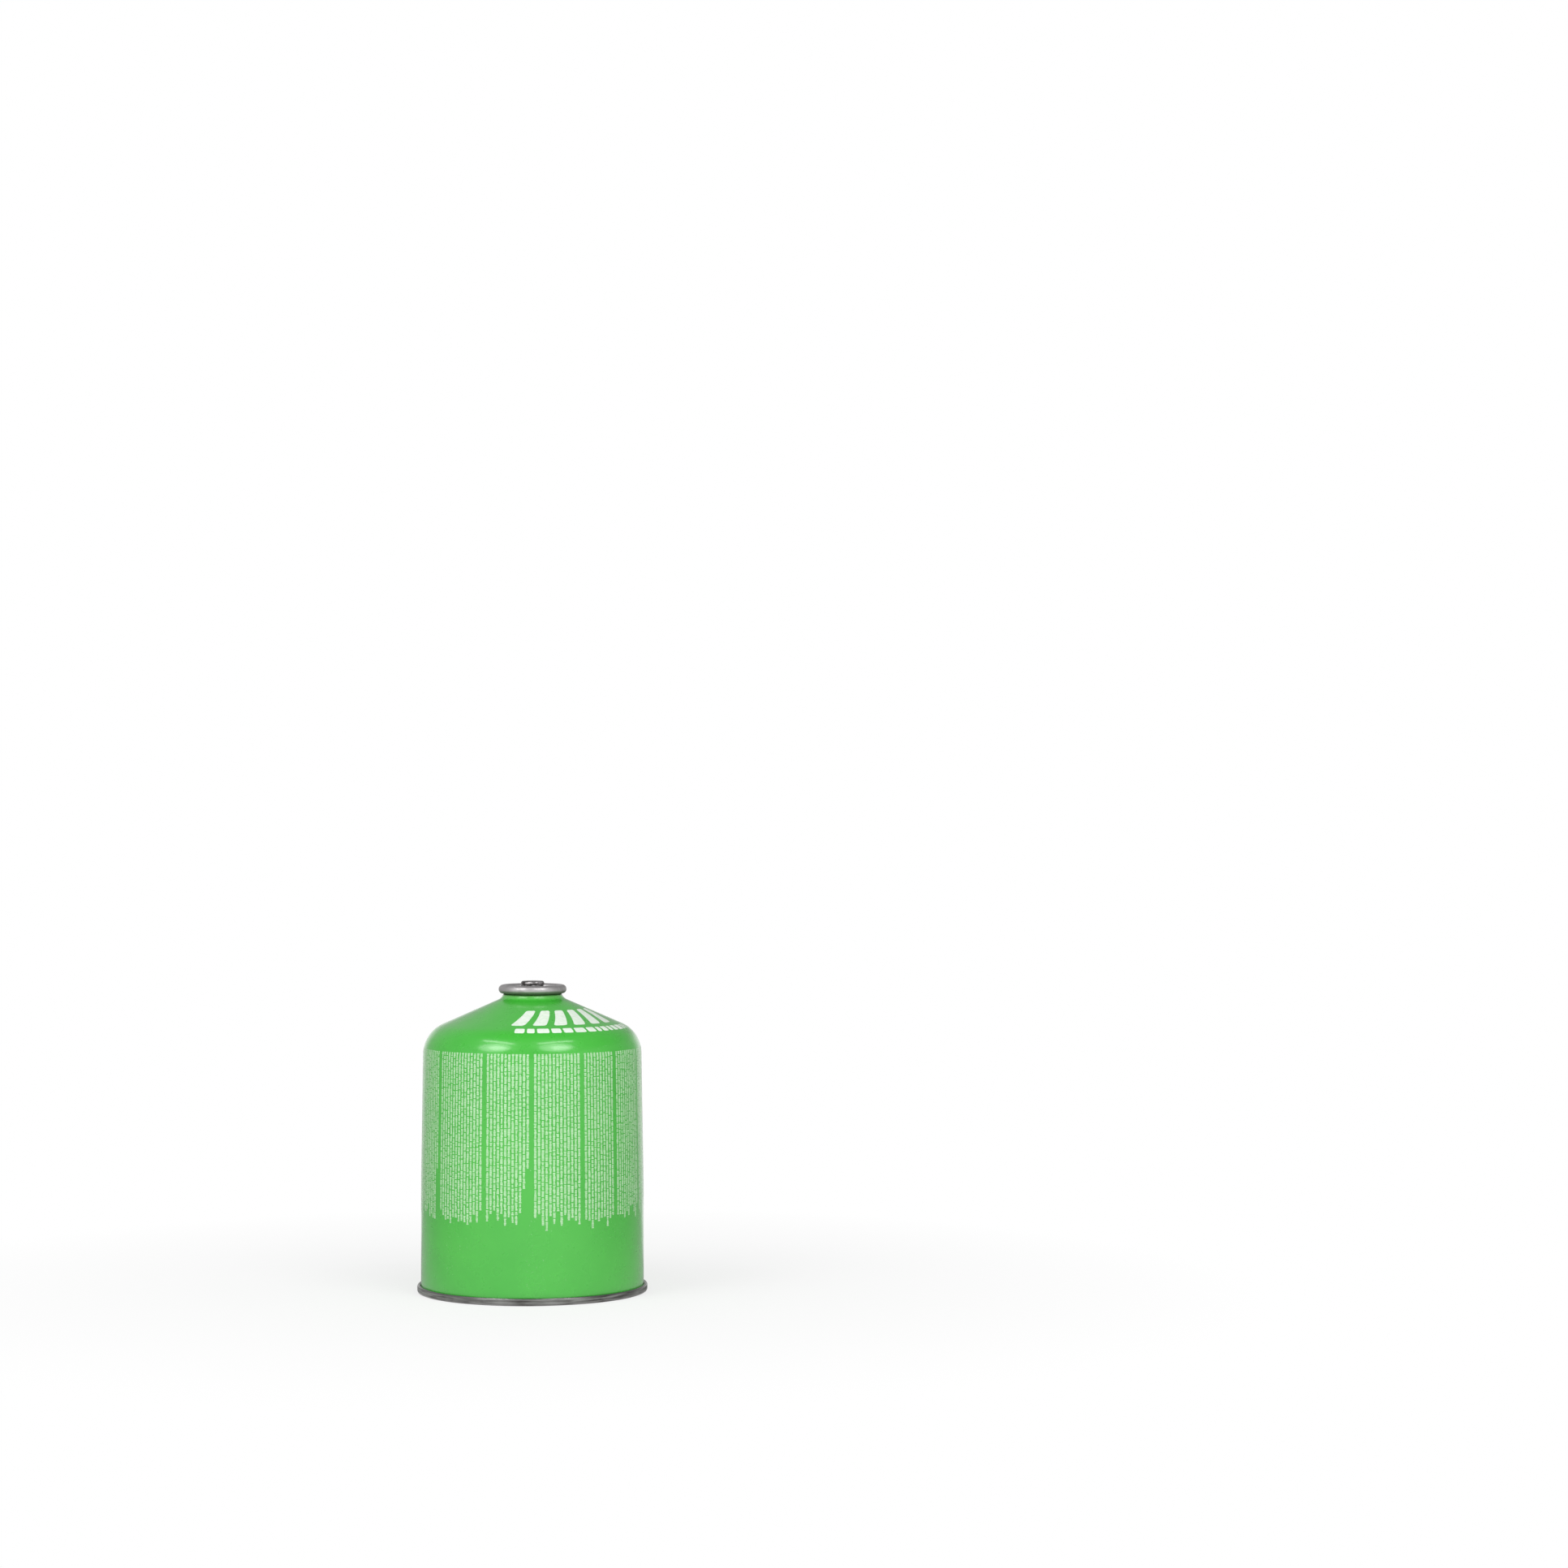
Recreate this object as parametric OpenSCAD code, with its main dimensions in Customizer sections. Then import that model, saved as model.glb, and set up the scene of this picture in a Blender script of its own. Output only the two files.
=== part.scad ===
// Screw-on gas cartridge of a camping stove: a drawn steel can with a domed top,
// a base that is double seamed on, and a self-sealing valve in a crimped cup.
// Millimetres, +Z up, the origin at the centre of the seam's lowest face.

/* [Can] */
// Outside diameter of the can, above its seam
can_d = 106.4; // [96:0.2:112]
// Height from the ground to the top of the threaded boss
height = 148.2; // [115:0.2:180]
// Thickness of the can's steel
can_t = 0.4; // [0.36:0.01:0.48]
// How much the wall's radius narrows from its middle to the shoulder
wall_draw = 1.2; // [0:0.1:2]
// Bend radius of the shoulder
shoulder_r = 15.5; // [10:0.5:20]
// Slope of the domed top, in degrees from level
dome_slope = 23.6; // [18:0.2:28]
// How much the neck's radius grows from the cup's crimp down to the dome
neck_flare = 1.1; // [0.6:0.1:1.6]

/* [Base] */
// Thickness of the base's steel
base_t = 0.48; // [0.42:0.01:0.54]
// Height of the double seam
seam_h = 3.6; // [3:0.05:4]
// Space between neighbouring sheets in the seam
seam_gap = 0.13; // [0.08:0.01:0.16]
// Depth of the step between the seam and the base's dome
step_h = 5; // [4:0.1:8]
// Rise of the base's dome above that step
base_rise = 9.5; // [5:0.5:14]

/* [Mouth] */
// Diameter of the hole in the can's curled mouth
mouth_d = 25.4; // [25:0.1:26]
// Thickness of the curl around the mouth
curl_d = 2.9; // [2.7:0.05:3.1]
// How far the cup is crimped out under the curl, past the mouth's radius
crimp_out = 0.9; // [0.7:0.05:1.1]
// Thickness of the cup's steel
cup_t = 0.35; // [0.3:0.01:0.4]
// Depth of the cup, from its rim to its floor
cup_depth = 8.8; // [8:0.1:10]
// Thickness of the gasket between the cup and the curl
rim_gasket_t = 0.18; // [0.12:0.01:0.24]

/* [Boss] */
// Major diameter of the boss's thread
thread_d = 11.11; // [11.05:0.01:11.15]
// Depth of that thread, which is rolled into the boss's steel
thread_depth = 0.55; // [0.45:0.01:0.6]
// Height of the boss above the cup's rim
boss_rise = 1.75; // [0.5:0.05:3]
// Diameter of the port in the top of the boss
port_d = 4.8; // [4.2:0.1:5.4]

/* [Valve] */
// Thickness of the gasket under the port
stem_gasket_t = 1.5; // [1.2:0.1:1.8]
// Diameter of the hole in that gasket
stem_hole_d = 3.2; // [2.8:0.1:3.4]
// Bore of the valve's housing
bore_d = 7; // [6.6:0.1:7.2]
// Length of that bore
bore_h = 11.6; // [11:0.1:13]
// Sliding space around the piston
piston_gap = 0.2; // [0.1:0.01:0.25]
// Diameter of the spring's wire
wire_d = 0.45; // [0.35:0.01:0.5]
// Turns of the spring
spring_turns = 7; // [6:1:8]

/* [Hidden] */
$fn = 96;

// clearance between pieces that are pressed or clamped together
seat_gap = 0.05;
// largest turn, in degrees, of one straight step along a bend
bend_step = 9;

can_r = can_d / 2;

// the seam's five sheets, from the inside out: each radius is a sheet's middle
step_mid = can_r - can_t - seam_gap - base_t / 2;
wall_mid = can_r - can_t / 2;
base_hook_mid = can_r + seam_gap + base_t / 2;
can_hook_mid = can_r + 2 * seam_gap + base_t + can_t / 2;
seam_mid = can_r + 3 * seam_gap + base_t + can_t + base_t / 2;
seam_r = seam_mid + base_t / 2;
// bend radii and centres of the can's turn and of the base's turn over it
can_turn_r = (can_hook_mid - wall_mid) / 2;
can_turn_z = base_t + seam_gap + can_t / 2 + can_turn_r;
base_turn_r = (seam_mid - base_hook_mid) / 2;
base_turn_z = seam_h - base_t / 2 - base_turn_r;

// the mouth: a round curl, and the cup's rim around it with the gasket between
rim_z = height - boss_rise;
rim_outer_r = curl_d / 2 + rim_gasket_t + 2 * seat_gap + cup_t;
rim_mid_r = rim_outer_r - cup_t / 2;
curl_z = rim_z - rim_outer_r;
curl_pos = (mouth_d + curl_d) / 2;
curl_mid_r = (curl_d - can_t) / 2;
mouth_mid = (mouth_d + can_t) / 2;
crimp_r = mouth_d / 2 + crimp_out;
neck_mid = crimp_r + seat_gap + can_t / 2;
// the can's neck leans in to the curl by this angle, up to this far below the curl's centre,
// and the cup's crimp follows it
neck_lean = 35;
curl_drop = 1;
lean_top_z = curl_z - curl_drop;
lean_low_z = lean_top_z - (neck_mid - mouth_mid) / tan(neck_lean);
// height of the flared neck between the dome and that lean, and the bend at its foot
neck_h = 2.2;
neck_bend_r = 4;
neck_foot_mid = neck_mid + neck_flare;
dome_top_z = lean_low_z - neck_h;
shoulder_mid = wall_mid - wall_draw;
shoulder_z = dome_top_z - (shoulder_mid - neck_foot_mid) * tan(dome_slope);
// the wall starts to narrow at this share of the shoulder's height, in a very wide bend
belly_z = 0.42 * shoulder_z;
belly_bend_r = 1500;

// the cup, inside the mouth
cup_wall_mid = curl_pos - rim_mid_r;
crimp_mid = crimp_r - cup_t / 2;
crimp_h = 0.9;
lean_space = (can_t / 2 + cup_t / 2 + 1.5 * seat_gap) / cos(neck_lean);
crimp_z = lean_low_z + (neck_mid - lean_space - crimp_mid) / tan(neck_lean);
cup_lean_z = lean_low_z + (neck_mid - lean_space - cup_wall_mid) / tan(neck_lean);
floor_z = rim_z - cup_depth - cup_t / 2;

// the boss, and the groove that clinches the valve's housing in it
boss_mid = thread_d / 2 - cup_t / 2;
boss_top_z = height - cup_t / 2;
groove_z = floor_z + 1.6;
groove_in = thread_depth + 0.35;
groove_h = 0.4;

// the valve under the port
port_gasket_z = height - cup_t - seat_gap - stem_gasket_t;
housing_r = thread_d / 2 - thread_depth - cup_t - seat_gap;
housing_top_z = port_gasket_z - seat_gap;
spring_seat_z = housing_top_z - bore_h;
housing_floor_t = 1.3;
nipple_h = 2.4;
nipple_r = 2.2;
inlet_r = 0.8;
side_inlet_r = 0.6;
piston_r = bore_d / 2 - piston_gap;
flute_r = 0.4;
// the lip that seals, a little outside the gasket's hole
lip_r = stem_hole_d / 2 + 0.7;
lip_w = 0.6;
lip_h = 0.4;
disc_h = 2.1;
disc_z = housing_top_z - lip_h - disc_h;
tail_r = 1.5;
tail_h = 4.6;
spring_r = (tail_r + bore_d / 2) / 2;
spring_low_z = spring_seat_z + seat_gap;
spring_h = disc_z - seat_gap - spring_low_z;

// ---- sections of bent sheet --------------------------------------------------

function unit(v) = v / norm(v);
function left_of(v) = [-v[1], v[0]];
function flat(p) = [p[0], p[1]];

// points on a circle from angle a0 to a1
function arc(c, r, a0, a1) =
    let (n = ceil(abs(a1 - a0) / bend_step))
    [for (i = [0:n]) let (a = a0 + (a1 - a0) * i / n) c + r * [cos(a), sin(a)]];

// the bend at corner b, with radius b[2], between its neighbours a and c
function bend(a, b, c) =
    let (u = unit(flat(a) - flat(b)), v = unit(flat(c) - flat(b)), turn = 180 - acos(u * v))
    b[2] == undef || turn < 0.01 ? [flat(b)] :
    let (reach = b[2] * tan(turn / 2),
         centre = flat(b) + unit(u + v) * b[2] / cos(turn / 2),
         s = flat(b) + u * reach - centre,
         e = flat(b) + v * reach - centre,
         n = max(4, ceil(turn / bend_step)))
    [for (i = [0:n])
        centre + (s * sin(turn * (n - i) / n) + e * sin(turn * i / n)) / sin(turn)];

// a path of corners [r, z] or [r, z, bend radius], with its bends made round
function bent(path) =
    let (last = len(path) - 1)
    [for (i = [0:last])
        each i == 0 || i == last ? [flat(path[i])] : bend(path[i - 1], path[i], path[i + 1])];

// the path moved sideways by d, to its left when d is positive
function beside(path, d) =
    let (last = len(path) - 1,
         ways = [for (i = [1:last]) left_of(unit(path[i] - path[i - 1]))])
    [for (i = [0:last])
        let (a = ways[max(i - 1, 0)], b = ways[min(i, last - 1)])
        path[i] + d * (a + b) / (1 + a * b)];

function backwards(list) = [for (i = [len(list) - 1:-1:0]) list[i]];

// sheet of thickness t whose middle follows the path, turned around the Z axis
module spun_sheet(path, t) {
    rotate_extrude()
        polygon(concat(beside(path, t / 2), backwards(beside(path, -t / 2))));
}

// ---- the can -----------------------------------------------------------------

module canister_shell() {
    sides = bent([
        [wall_mid, can_turn_z],
        [wall_mid, belly_z, belly_bend_r],
        [shoulder_mid, shoulder_z, shoulder_r - can_t / 2],
        [neck_foot_mid, dome_top_z, neck_bend_r],
        [neck_mid, lean_low_z, 0.6],
        [mouth_mid, lean_top_z, 0.9],
        [mouth_mid, curl_z - 0.2]
    ]);
    seam_turn = arc([(wall_mid + can_hook_mid) / 2, can_turn_z], can_turn_r, 0, -174);
    curl = arc([curl_pos, curl_z], curl_mid_r, 180, -95);
    color([0.4, 0.76, 0.36])
        spun_sheet(concat([[can_hook_mid, base_turn_z]], seam_turn, sides, curl), can_t);
}

module base_end() {
    edge_z = step_h + base_t / 2;
    // a shallow dome over most of the base, then a cone down to its edge
    dome_angle = atan(base_rise / (step_mid / 2));
    dome_r = 0.9 * (step_mid / 2) / tan(dome_angle / 2);
    path = bent([
        [0, edge_z + base_rise],
        [step_mid / 2, edge_z + base_rise, dome_r],
        [step_mid, edge_z, 1.5],
        [step_mid, base_t / 2, 0.9],
        [seam_mid, base_t / 2, 0.9],
        [seam_mid, base_turn_z - 0.05]
    ]);
    hook = arc([(seam_mid + base_hook_mid) / 2, base_turn_z], base_turn_r, 0, 180);
    color([0.62, 0.63, 0.62])
        spun_sheet(concat(path, hook, [[base_hook_mid, can_turn_z]]), base_t);
}

// the bead of sealing compound in the can's turn, under the base's hook
module seam_compound() {
    bead_r = can_turn_r - can_t / 2 - seat_gap;
    color([0.55, 0.5, 0.4])
        rotate_extrude()
            polygon(arc([(wall_mid + can_hook_mid) / 2, can_turn_z - seat_gap / 2],
                        bead_r, 180, 360));
}

// ---- the mouth ---------------------------------------------------------------

module valve_cup() {
    // the rim, from its lip under the curl, over the top and into the mouth
    rim = arc([curl_pos, curl_z], rim_mid_r, -68, 180);
    inside = bent([
        [cup_wall_mid, curl_z - 0.1],
        [cup_wall_mid, cup_lean_z, 0.5],
        [crimp_mid, crimp_z, 0.5],
        [crimp_mid, crimp_z - crimp_h, 0.5],
        [cup_wall_mid, crimp_z - crimp_h - (crimp_mid - cup_wall_mid), 0.5],
        [cup_wall_mid, floor_z, 1.2],
        [boss_mid, floor_z, 0.8],
        [boss_mid, groove_z, 0.3],
        [boss_mid - groove_in, groove_z + groove_in, 0.25],
        [boss_mid - groove_in, groove_z + groove_in + groove_h, 0.25],
        [boss_mid, groove_z + 2 * groove_in + groove_h, 0.3],
        [boss_mid, boss_top_z, 0.8],
        [port_d / 2, boss_top_z]
    ]);
    color([0.74, 0.73, 0.72])
        spun_sheet(concat(rim, inside), cup_t);
}

// lines the cup's rim, between it and the can's curl
module cup_gasket() {
    lining_r = curl_d / 2 + seat_gap + rim_gasket_t / 2;
    lining = arc([curl_pos, curl_z], lining_r, 20, 180);
    color([0.16, 0.16, 0.17])
        spun_sheet(concat(lining, [[curl_pos - lining_r, cup_lean_z + 0.3]]), rim_gasket_t);
}

// ---- the valve ---------------------------------------------------------------

module valve_housing() {
    // the groove round it that the boss is clinched into
    clinch_r = thread_d / 2 - groove_in - cup_t - seat_gap;
    clinch_play = 0.15;
    clinch_low_z = groove_z + groove_in - clinch_play;
    clinch_high_z = groove_z + groove_in + groove_h + clinch_play;
    bevel = housing_r - clinch_r;
    body_low_z = spring_seat_z - housing_floor_t;
    floor_bevel = 0.4;
    color([0.9, 0.9, 0.87])
        difference() {
            rotate_extrude()
                polygon([
                    [bore_d / 2, spring_seat_z],
                    [bore_d / 2, housing_top_z],
                    [housing_r, housing_top_z],
                    [housing_r, clinch_high_z + bevel],
                    [clinch_r, clinch_high_z],
                    [clinch_r, clinch_low_z],
                    [housing_r, clinch_low_z - bevel],
                    [housing_r, body_low_z + floor_bevel],
                    [housing_r - floor_bevel, body_low_z],
                    [nipple_r, body_low_z],
                    [nipple_r - 0.3, body_low_z - nipple_h],
                    [inlet_r, body_low_z - nipple_h],
                    [inlet_r, spring_seat_z]
                ]);
            // inlets through the side, just above the spring's seat
            for (turn = [0:90:270])
                rotate([0, 90, turn + 45])
                    translate([-spring_seat_z - 2 * side_inlet_r, 0, bore_d / 2 - 0.5])
                        cylinder(r = side_inlet_r, h = housing_r);
        }
}

// the rubber washer that seals the port, clamped between the boss and the housing
module stem_gasket() {
    // its upper edge is bevelled, to lie in the boss's bend
    bevel = 0.45;
    color([0.12, 0.12, 0.12])
        translate([0, 0, port_gasket_z])
            rotate_extrude()
                polygon([
                    [stem_hole_d / 2, 0],
                    [housing_r, 0],
                    [housing_r, stem_gasket_t - bevel],
                    [housing_r - bevel, stem_gasket_t],
                    [stem_hole_d / 2, stem_gasket_t]
                ]);
}

// the piston that the spring holds against the washer
module valve_piston() {
    edge = 0.3;
    slot_l = 2 * lip_r - 0.4;
    slot_w = 0.6;
    slot_h = 0.4;
    color([0.88, 0.84, 0.72])
        difference() {
            rotate_extrude()
                polygon([
                    [0, disc_z - tail_h],
                    [tail_r - edge, disc_z - tail_h],
                    [tail_r, disc_z - tail_h + 2 * edge],
                    [tail_r, disc_z],
                    [piston_r, disc_z],
                    [piston_r, disc_z + disc_h - edge],
                    [piston_r - edge, disc_z + disc_h],
                    [lip_r + lip_w, disc_z + disc_h],
                    [lip_r + 0.7 * lip_w, disc_z + disc_h + lip_h],
                    [lip_r + 0.3 * lip_w, disc_z + disc_h + lip_h],
                    [lip_r, disc_z + disc_h],
                    [0, disc_z + disc_h]
                ]);
            // flutes that let the gas past the disc
            for (turn = [0:60:300])
                rotate(turn)
                    translate([piston_r, 0, disc_z - 1])
                        cylinder(r = flute_r, h = disc_h + 2);
            // cross slot under the stove's pin
            for (turn = [0, 90])
                rotate(turn)
                    translate([-slot_l / 2, -slot_w / 2, disc_z + disc_h - slot_h])
                        cube([slot_l, slot_w, 2 * slot_h]);
        }
}

// ---- the spring --------------------------------------------------------------

// height along the spring, 0 to 1, at a share of its length: its end turns lie closed
closed_share = 1 / spring_turns;
closed_rise = 1.06 * wire_d / (spring_h - wire_d);
function climb(share) =
    share < closed_share ? closed_rise * share / closed_share :
    share > 1 - closed_share ? 1 - closed_rise * (1 - share) / closed_share :
    closed_rise + (1 - 2 * closed_rise) * (share - closed_share) / (1 - 2 * closed_share);

function spring_ring(share, sides) =
    let (a = 360 * spring_turns * share,
         z = spring_low_z + wire_d / 2 + (spring_h - wire_d) * climb(share))
    [for (i = [0:sides - 1])
        let (b = 360 * i / sides, r = spring_r + wire_d / 2 * cos(b))
        [r * cos(a), r * sin(a), z + wire_d / 2 * sin(b)]];

module valve_spring() {
    sides = 6;
    rings = spring_turns * 16;
    points = [for (k = [0:rings]) each spring_ring(k / rings, sides)];
    walls = [for (k = [0:rings - 1], i = [0:sides - 1])
        let (j = (i + 1) % sides)
        [k * sides + i, (k + 1) * sides + i, (k + 1) * sides + j, k * sides + j]];
    ends = [[for (i = [0:sides - 1]) i], [for (i = [sides - 1:-1:0]) rings * sides + i]];
    color([0.7, 0.7, 0.72])
        polyhedron(points, concat(walls, ends), convexity = 4);
}

// ---- every node --------------------------------------------------------------

canister_shell();
base_end();
seam_compound();
valve_cup();
cup_gasket();
valve_housing();
stem_gasket();
valve_piston();
valve_spring();
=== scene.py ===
"""The looks of a screw-on gas canister: green enamel on drawn steel, with a pale printed band."""

import math
import random

import bmesh
import bpy
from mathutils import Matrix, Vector


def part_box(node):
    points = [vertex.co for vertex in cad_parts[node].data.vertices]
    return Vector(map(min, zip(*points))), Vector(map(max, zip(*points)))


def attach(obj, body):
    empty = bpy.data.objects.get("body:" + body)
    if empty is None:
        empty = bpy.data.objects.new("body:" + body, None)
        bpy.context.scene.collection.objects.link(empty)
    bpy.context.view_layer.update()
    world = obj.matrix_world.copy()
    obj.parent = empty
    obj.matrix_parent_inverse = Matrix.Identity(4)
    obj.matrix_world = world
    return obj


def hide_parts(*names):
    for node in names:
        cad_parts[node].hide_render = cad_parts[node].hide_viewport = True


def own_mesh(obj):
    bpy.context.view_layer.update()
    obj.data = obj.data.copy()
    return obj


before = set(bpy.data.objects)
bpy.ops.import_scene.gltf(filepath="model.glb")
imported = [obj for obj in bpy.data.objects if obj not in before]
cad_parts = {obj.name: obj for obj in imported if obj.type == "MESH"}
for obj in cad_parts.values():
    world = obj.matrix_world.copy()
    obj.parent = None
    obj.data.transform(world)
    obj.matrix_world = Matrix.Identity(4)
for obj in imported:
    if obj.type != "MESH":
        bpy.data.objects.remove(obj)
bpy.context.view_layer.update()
rng = random.Random(11)

MM = 0.001
# lengths below this count as none
TINY = 1e-7

# ---- sizes, in metres: the sheets' thicknesses, and what the frame gives --------

CAN_T = 0.4 * MM
BASE_T = 0.48 * MM
CUP_T = 0.35 * MM
SEAM_GAP = 0.13 * MM
SEAT_GAP = 0.05 * MM

shell_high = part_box("canister_shell")[1]
base_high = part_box("base_end")[1]
cup_low, cup_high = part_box("valve_cup")
spring_low, spring_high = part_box("valve_spring")

SEAM_R = base_high.x
CAN_R = SEAM_R - 3 * SEAM_GAP - 2 * BASE_T - CAN_T
HEIGHT = cup_high.z
SEAM_H = 3.6 * MM

# the seam's sheets, each by the radius of its middle
STEP_MID = CAN_R - CAN_T - SEAM_GAP - BASE_T / 2
WALL_MID = CAN_R - CAN_T / 2
BASE_HOOK_MID = CAN_R + SEAM_GAP + BASE_T / 2
CAN_HOOK_MID = CAN_R + 2 * SEAM_GAP + BASE_T + CAN_T / 2
SEAM_MID = SEAM_R - BASE_T / 2
CAN_TURN_R = (CAN_HOOK_MID - WALL_MID) / 2
CAN_TURN_Z = BASE_T + SEAM_GAP + CAN_T / 2 + CAN_TURN_R
BASE_TURN_R = (SEAM_MID - BASE_HOOK_MID) / 2
BASE_TURN_Z = SEAM_H - BASE_T / 2 - BASE_TURN_R

# the mouth: the curl, and the cup's rim around it
CURL_R = 1.45 * MM
MOUTH_R = 12.7 * MM
CURL_POS = MOUTH_R + CURL_R
CURL_Z = shell_high.z - CURL_R
RIM_R = cup_high.x - CURL_POS
RIM_MID = RIM_R - CUP_T / 2
MOUTH_MID = MOUTH_R + CAN_T / 2
CRIMP_R = 13.6 * MM
NECK_MID = CRIMP_R + SEAT_GAP + CAN_T / 2
LEAN_ANGLE = math.radians(35)
LEAN = math.tan(LEAN_ANGLE)
LEAN_TOP_Z = CURL_Z - 1 * MM
LEAN_LOW_Z = LEAN_TOP_Z - (NECK_MID - MOUTH_MID) / LEAN

# the dome's neck, its shoulder, and the wall that narrows a little toward the shoulder
NECK_H = 2.2 * MM
NECK_FLARE = 1.1 * MM
NECK_BEND_R = 4 * MM
DOME_TOP_Z = LEAN_LOW_Z - NECK_H
NECK_FOOT_MID = NECK_MID + NECK_FLARE
WALL_DRAW = 1.2 * MM
SHOULDER_MID = WALL_MID - WALL_DRAW
SHOULDER_R = 15.5 * MM
DOME_SLOPE = math.tan(math.radians(23.6))
SHOULDER_Z = DOME_TOP_Z - (SHOULDER_MID - NECK_FOOT_MID) * DOME_SLOPE
BELLY_Z = 0.42 * SHOULDER_Z
BELLY_BEND_R = 1500 * MM

# the cup's inside and the boss
CUP_WALL_MID = CURL_POS - RIM_MID
CRIMP_MID = CRIMP_R - CUP_T / 2
LEAN_SPACE = (CAN_T / 2 + CUP_T / 2 + 1.5 * SEAT_GAP) / math.cos(LEAN_ANGLE)
CRIMP_Z = LEAN_LOW_Z + (NECK_MID - LEAN_SPACE - CRIMP_MID) / LEAN
CUP_LEAN_Z = LEAN_LOW_Z + (NECK_MID - LEAN_SPACE - CUP_WALL_MID) / LEAN
CRIMP_H = 0.9 * MM
FLOOR_Z = cup_low.z + CUP_T / 2
THREAD_R = 5.555 * MM
PITCH = 0.907 * MM
THREAD_DEPTH = 0.5 * MM
BOSS_MID = THREAD_R - CUP_T / 2
BOSS_TOP_Z = HEIGHT - CUP_T / 2
GROOVE_Z = FLOOR_Z + 1.6 * MM
GROOVE_IN = 0.9 * MM
GROOVE_H = 0.4 * MM
PORT_R = 2.4 * MM


# ---- sections of bent sheet ------------------------------------------------------

# how far one edge turns from the next: on curls, on wide bends, and in corners tighter than TIGHT
CURL_STEP = math.radians(5)
BEND_STEP = math.radians(4)
CORNER_STEP = math.radians(15)
TIGHT = 2 * MM
# a turn smaller than this, in radians, is left as a plain corner
STRAIGHT = 1e-4


def arc(centre, radius, start, end):
    """Points (r, z) on a circle between two angles in degrees."""
    start, end = math.radians(start), math.radians(end)
    n = max(2, math.ceil(abs(end - start) / CURL_STEP))
    angles = [start + (end - start) * i / n for i in range(n + 1)]
    return [Vector(centre) + radius * Vector((math.cos(a), math.sin(a))) for a in angles]


def bend(a, b, c, radius):
    """The round corner at b between its neighbours a and c."""
    u, v = (a - b).normalized(), (c - b).normalized()
    turn = math.pi - math.acos(max(-1, min(1, u.dot(v))))
    if radius == 0 or turn < STRAIGHT:
        return [b]
    reach = radius * math.tan(turn / 2)
    centre = b + (u + v).normalized() * radius / math.cos(turn / 2)
    s, e = b + u * reach - centre, b + v * reach - centre
    n = max(3, math.ceil(turn / (CORNER_STEP if radius < TIGHT else BEND_STEP)))
    return [
        centre + (s * math.sin(turn * (n - i) / n) + e * math.sin(turn * i / n)) / math.sin(turn)
        for i in range(n + 1)
    ]


def bent(path):
    """A path of corners (r, z) or (r, z, bend radius), with its bends made round."""
    flat = [Vector(p[:2]) for p in path]
    points = [flat[0]]
    for i in range(1, len(path) - 1):
        radius = path[i][2] if len(path[i]) > 2 else 0
        points += bend(flat[i - 1], flat[i], flat[i + 1], radius)
    return points + [flat[-1]]


def beside(path, d):
    """The path moved sideways by d, to its left when d is positive."""
    ways = []
    for p, q in zip(path, path[1:]):
        way = (q - p).normalized()
        ways.append(Vector((-way.y, way.x)))
    moved = []
    for i, p in enumerate(path):
        a, b = ways[max(i - 1, 0)], ways[min(i, len(ways) - 1)]
        moved.append(p + (a + b) * (d / (1 + a.dot(b))))
    return moved


def finer(path, step):
    """The path with its long straight stretches cut into steps no longer than step."""
    points = [path[0]]
    for p, q in zip(path, path[1:]):
        n = max(1, math.ceil((q - p).length / step))
        points += [p.lerp(q, i / n) for i in range(1, n + 1)]
    return points


def sheet_section(path, thickness, step):
    """The closed outline of a sheet whose middle follows the path."""
    apart = [p for i, p in enumerate(path) if i == 0 or (p - path[i - 1]).length > TINY]
    path = finer(apart, step)
    return beside(path, thickness / 2) + beside(path, -thickness / 2)[::-1]


# ---- meshes ----------------------------------------------------------------------

# an edge that bends more than this is shown sharp
SHARP = math.radians(40)


def mesh_object(name, points, faces):
    """A smooth mesh, sharp at its hard edges, that rides on the canister."""
    mesh = bpy.data.meshes.new(name)
    mesh.from_pydata(points, [], faces)
    mesh.validate()
    mesh.polygons.foreach_set("use_smooth", [True] * len(mesh.polygons))
    mesh.set_sharp_from_angle(angle=SHARP)
    obj = bpy.data.objects.new(name, mesh)
    bpy.context.scene.collection.objects.link(obj)
    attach(obj, "canister")
    return obj


def lathe(name, section, turns, shape):
    """Turns a closed section of (r, z) points round the Z axis, moved by shape(r, z, angle)."""
    section = [p for i, p in enumerate(section) if (p - section[i - 1]).length > TINY]
    points, faces, index = [], [], []
    for k in range(turns):
        angle = 2 * math.pi * k / turns
        c, s = math.cos(angle), math.sin(angle)
        row = []
        for i, p in enumerate(section):
            r, z = shape(p.x, p.y, angle)
            if p.x < TINY and k:
                row.append(index[0][i])
                continue
            row.append(len(points))
            points.append((r * c, r * s, z))
        index.append(row)
    n = len(section)
    for k in range(turns):
        here, there = index[k], index[(k + 1) % turns]
        for i in range(n):
            j = (i + 1) % n
            face = [here[i], there[i], there[j], here[j]]
            face = [v for f, v in enumerate(face) if v != face[f - 1]]
            if len(face) > 2:
                faces.append(face)
    return outward(mesh_object(name, points, faces))


def outward(obj):
    """Turns a closed mesh's faces outward."""
    bm = bmesh.new()
    bm.from_mesh(obj.data)
    bmesh.ops.recalc_face_normals(bm, faces=bm.faces)
    bm.to_mesh(obj.data)
    bm.free()
    return obj


def share(x, low, high):
    """How far x is on the way from low to high, from 0 to 1."""
    return max(0, min(1, (x - low) / (high - low)))


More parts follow.
